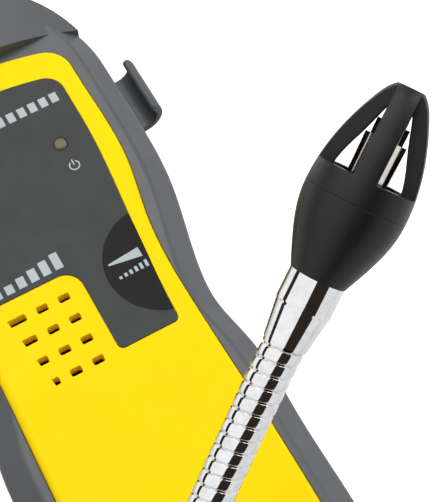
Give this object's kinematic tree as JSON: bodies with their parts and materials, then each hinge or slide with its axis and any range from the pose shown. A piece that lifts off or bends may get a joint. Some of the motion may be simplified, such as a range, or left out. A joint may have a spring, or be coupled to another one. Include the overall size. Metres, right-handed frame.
{
  "type": "combustible gas detector",
  "caption": "Handheld combustible gas detector with yellow front, flexible chrome arm and caged sensor tip.",
  "frame": {"origin": "centre of the flat back face, where the back rests", "axes": "+X to the right of the front, +Y towards the arm end of the housing, +Z out of the front"},
  "size_m": [0.1557, 0.2597, 0.1555],
  "materials": {
    "grey_shell": "fine satin moulded plastic",
    "border_grey": "fine satin moulded plastic",
    "yellow_panel": "smooth satin moulded plastic",
    "label_grey": "matt printed film",
    "lamp_lens": "clear tinted, unlit",
    "black_plastic": "satin moulded plastic",
    "board_green": "solder mask",
    "steel": "plated",
    "chrome": "bright plated",
    "cell_jacket": "plain sleeve"
  },
  "bodies": {
    "housing": {"rear_shell": "grey_shell", "front_shell": "border_grey", "front_panel": "yellow_panel", "control_label": "label_grey", "power_lamp": "lamp_lens", "leak_lamp": "lamp_lens", "lamp_posts": "black_plastic", "circuit_board": "board_green", "board_parts": "black_plastic", "board_screws": "steel", "rotary_control": "black_plastic", "speaker": "black_plastic", "battery_cell_1": "cell_jacket", "battery_cell_2": "cell_jacket", "battery_cell_3": "cell_jacket", "left_contacts": "steel", "right_contacts": "steel", "housing_screws": "steel", "arm_bush": "black_plastic", "bush_nut": "steel"},
    "wheel": {"thumbwheel": "black_plastic", "control_shaft": "steel"},
    "door": {"battery_door": "grey_shell"},
    "arm_1": {"arm_section_1": "chrome"},
    "arm_2": {"arm_section_2": "chrome"},
    "arm_3": {"arm_section_3": "chrome"},
    "arm_4": {"arm_section_4": "chrome"},
    "arm_5": {"arm_section_5": "chrome"},
    "arm_6": {"arm_section_6": "chrome", "ferrule": "chrome", "sensor_base": "black_plastic", "sensor_socket": "black_plastic", "sensor_pins": "steel", "sensor_can": "steel", "sensor_screen": "steel"},
    "cap": {"sensor_cap": "black_plastic"}
  },
  "joints": [
    {"name": "thumbwheel_turn", "type": "hinge", "parent": "housing", "child": "wheel", "pos_m": [0.0244, 0.004, 0.024], "axis": [0, 0, 1], "range_deg": [0, 300]},
    {"name": "battery_door_slide", "type": "slide", "parent": "housing", "child": "door", "axis": [0, -1, 0], "range_m": [0, 0.09]},
    {"name": "arm_bend_1", "type": "hinge", "parent": "housing", "child": "arm_1", "pos_m": [0, 0.1175, 0.024], "axis": [0.225, 0, 0.9744], "range_deg": [-20, 5]},
    {"name": "arm_bend_2", "type": "hinge", "parent": "arm_1", "child": "arm_2", "pos_m": [-0.05332, 0.14784, 0.03631], "axis": [0.5308, -0.846, -0.0509], "range_deg": [-20, 8]},
    {"name": "arm_bend_3", "type": "hinge", "parent": "arm_2", "child": "arm_3", "pos_m": [-0.09114, 0.08563, 0.04733], "axis": [-0.4504, -0.026, -0.8924], "range_deg": [-4, 20]},
    {"name": "arm_bend_4", "type": "hinge", "parent": "arm_3", "child": "arm_4", "pos_m": [-0.09217, 0.00964, 0.05007], "axis": [0.8914, 0.0612, 0.4491], "range_deg": [-20, 5]},
    {"name": "arm_bend_5", "type": "hinge", "parent": "arm_4", "child": "arm_5", "pos_m": [-0.08226, -0.06581, 0.05175], "axis": [-0.5993, -0.073, 0.7972], "range_deg": [-20, 20]},
    {"name": "arm_bend_6", "type": "hinge", "parent": "arm_5", "child": "arm_6", "pos_m": [-0.03383, -0.09306, 0.08565], "axis": [0.7016, -0.6661, -0.2531], "range_deg": [-20, 20]},
    {"name": "sensor_cap_off", "type": "slide", "parent": "arm_6", "child": "cap", "axis": [0.735, 0.4315, 0.5231], "range_m": [0, 0.03]}
  ]
}
